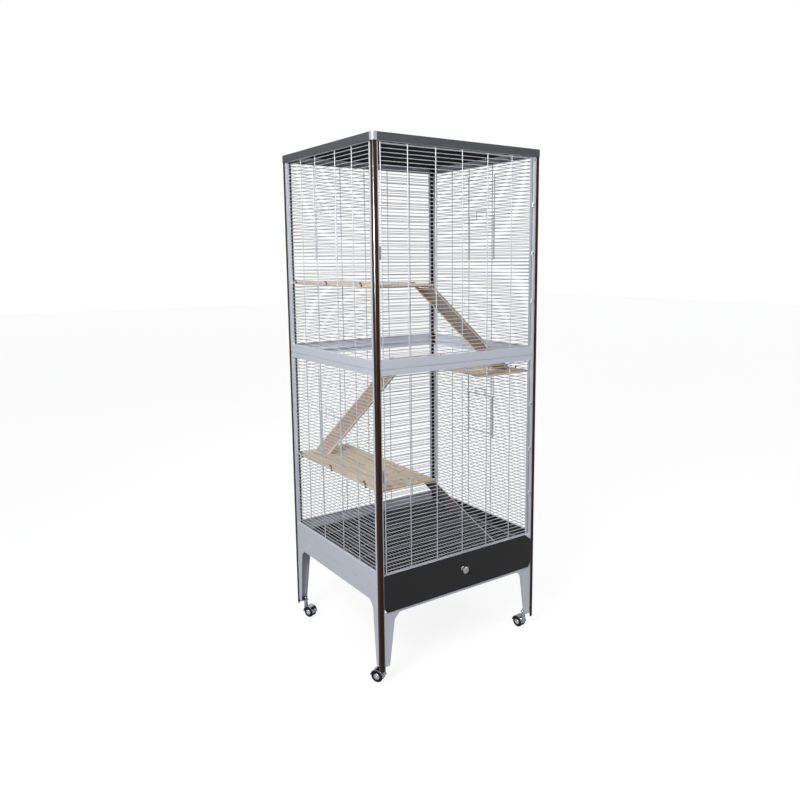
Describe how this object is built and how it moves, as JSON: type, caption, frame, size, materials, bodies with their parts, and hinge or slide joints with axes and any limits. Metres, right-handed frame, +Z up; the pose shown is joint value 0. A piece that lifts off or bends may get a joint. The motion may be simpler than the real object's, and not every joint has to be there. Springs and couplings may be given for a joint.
{
  "type": "ferret cage",
  "caption": "Tall wire cage for ferrets: two tiers with front doors, sliding feed doors, shelves joined by ramps, a pull-out tray and swivel castors.",
  "frame": {"origin": "on the floor, under the middle of the cage", "axes": "+Z up, -Y out of the front with the doors and the drawer, +X to the right seen from the front"},
  "size_m": [0.677, 0.6458, 1.7],
  "materials": {
    "lid_paint": "satin charcoal paint",
    "cap_steel": "bright bare steel",
    "post_enamel": "glossy dark brown enamel",
    "frame_enamel": "smooth light grey enamel",
    "wire_enamel": "smooth white enamel on wire",
    "black_steel": "black enamel",
    "floor_enamel": "smooth grey enamel on wire",
    "base_enamel": "smooth light grey enamel",
    "tray_plastic": "matt black",
    "drawer_paint": "satin anthracite paint",
    "knob_chrome": "polished",
    "castor_metal": "bright plated",
    "wheel_rubber": "matt black",
    "shelf_pine": "planed pine, bare",
    "ramp_wood": "planed wood, bare"
  },
  "bodies": {
    "cage": {"lid": "lid_paint", "lid_corner_cap": "cap_steel", "post_front_left": "post_enamel", "post_front_right": "post_enamel", "post_back_right": "post_enamel", "post_back_left": "post_enamel", "upper_frame_front": "frame_enamel", "upper_frame_right": "frame_enamel", "upper_frame_back": "frame_enamel", "upper_frame_left": "frame_enamel", "lower_frame_front": "frame_enamel", "lower_frame_right": "frame_enamel", "lower_frame_back": "frame_enamel", "lower_frame_left": "frame_enamel", "upper_grid_right": "wire_enamel", "upper_grid_back": "wire_enamel", "upper_grid_left": "wire_enamel", "lower_grid_right": "wire_enamel", "lower_grid_back": "wire_enamel", "lower_grid_left": "wire_enamel", "door_hinges": "frame_enamel", "door_catches": "frame_enamel", "floor_grate": "floor_enamel", "grate_ledges": "black_steel", "drawer_runners": "base_enamel", "under_rail": "base_enamel", "apron_right": "base_enamel", "apron_back": "base_enamel", "apron_left": "base_enamel", "leg_front_left": "base_enamel", "leg_front_right": "base_enamel", "leg_back_right": "base_enamel", "leg_back_left": "base_enamel", "castor_stems": "castor_metal", "upper_shelf": "shelf_pine", "middle_shelf": "shelf_pine", "lower_shelf": "shelf_pine", "shelf_hooks": "black_steel", "ramp_hangers": "black_steel"},
    "upper_door": {"upper_front_door": "wire_enamel"},
    "lower_door": {"lower_front_door": "wire_enamel"},
    "feed_door_upper_left": {"feed_door_upper_left": "wire_enamel"},
    "feed_door_upper_right": {"feed_door_upper_right": "wire_enamel"},
    "feed_door_lower_left": {"feed_door_lower_left": "wire_enamel"},
    "feed_door_lower_right": {"feed_door_lower_right": "wire_enamel"},
    "drawer": {"drawer_tray": "tray_plastic", "drawer_front": "drawer_paint", "drawer_knob": "knob_chrome"},
    "swivel_front_left": {"castor_fork_front_left": "castor_metal"},
    "wheels_front_left": {"castor_wheels_front_left": "wheel_rubber"},
    "swivel_front_right": {"castor_fork_front_right": "castor_metal"},
    "wheels_front_right": {"castor_wheels_front_right": "wheel_rubber"},
    "swivel_back_right": {"castor_fork_back_right": "castor_metal"},
    "wheels_back_right": {"castor_wheels_back_right": "wheel_rubber"},
    "swivel_back_left": {"castor_fork_back_left": "castor_metal"},
    "wheels_back_left": {"castor_wheels_back_left": "wheel_rubber"},
    "upper_ramp": {"upper_ramp": "ramp_wood"},
    "middle_ramp": {"middle_ramp": "ramp_wood"},
    "lower_ramp": {"lower_ramp": "ramp_wood"}
  },
  "joints": [
    {"name": "upper_door_swing", "type": "hinge", "parent": "cage", "child": "upper_door", "pos_m": [0.2975, -0.3028, 1.359], "axis": [0, 0, 1], "range_deg": [0, 120]},
    {"name": "lower_door_swing", "type": "hinge", "parent": "cage", "child": "lower_door", "pos_m": [0.2975, -0.3028, 0.6805], "axis": [0, 0, 1], "range_deg": [0, 120]},
    {"name": "feed_upper_left_lift", "type": "slide", "parent": "cage", "child": "feed_door_upper_left", "axis": [0, 0, 1], "range_m": [0, 0.14]},
    {"name": "feed_upper_right_lift", "type": "slide", "parent": "cage", "child": "feed_door_upper_right", "axis": [0, 0, 1], "range_m": [0, 0.14]},
    {"name": "feed_lower_left_lift", "type": "slide", "parent": "cage", "child": "feed_door_lower_left", "axis": [0, 0, 1], "range_m": [0, 0.14]},
    {"name": "feed_lower_right_lift", "type": "slide", "parent": "cage", "child": "feed_door_lower_right", "axis": [0, 0, 1], "range_m": [0, 0.14]},
    {"name": "drawer_pull", "type": "slide", "parent": "cage", "child": "drawer", "axis": [0, -1, 0], "range_m": [0, 0.48]},
    {"name": "front_left_swivel", "type": "hinge", "parent": "cage", "child": "swivel_front_left", "pos_m": [-0.301, -0.281, 0.05], "axis": [0, 0, 1], "continuous": true},
    {"name": "front_left_roll", "type": "hinge", "parent": "swivel_front_left", "child": "wheels_front_left", "pos_m": [-0.3113, -0.26386, 0.02], "axis": [-0.8572, -0.515, 0], "continuous": true},
    {"name": "front_right_swivel", "type": "hinge", "parent": "cage", "child": "swivel_front_right", "pos_m": [0.301, -0.281, 0.05], "axis": [0, 0, 1], "continuous": true},
    {"name": "front_right_roll", "type": "hinge", "parent": "swivel_front_right", "child": "wheels_front_right", "pos_m": [0.29822, -0.2612, 0.02], "axis": [-0.9903, -0.1392, 0], "continuous": true},
    {"name": "back_right_swivel", "type": "hinge", "parent": "cage", "child": "swivel_back_right", "pos_m": [0.301, 0.281, 0.05], "axis": [0, 0, 1], "continuous": true},
    {"name": "back_right_roll", "type": "hinge", "parent": "swivel_back_right", "child": "wheels_back_right", "pos_m": [0.31632, 0.29386, 0.02], "axis": [-0.6428, 0.766, 0], "continuous": true},
    {"name": "back_left_swivel", "type": "hinge", "parent": "cage", "child": "swivel_back_left", "pos_m": [-0.301, 0.281, 0.05], "axis": [0, 0, 1], "continuous": true},
    {"name": "back_left_roll", "type": "hinge", "parent": "swivel_back_left", "child": "wheels_back_left", "pos_m": [-0.29255, 0.26287, 0.02], "axis": [0.9063, 0.4226, 0], "continuous": true},
    {"name": "upper_ramp_lift", "type": "hinge", "parent": "cage", "child": "upper_ramp", "pos_m": [-0.0952, -0.226, 1.254], "axis": [0, -1, 0], "range_deg": [0, 14]},
    {"name": "middle_ramp_lift", "type": "hinge", "parent": "cage", "child": "middle_ramp", "pos_m": [0.0952, 0.233, 0.946], "axis": [0, 1, 0], "range_deg": [0, 14]},
    {"name": "lower_ramp_lift", "type": "hinge", "parent": "cage", "child": "lower_ramp", "pos_m": [-0.0952, -0.226, 0.626], "axis": [0, -1, 0], "range_deg": [0, 46]}
  ]
}
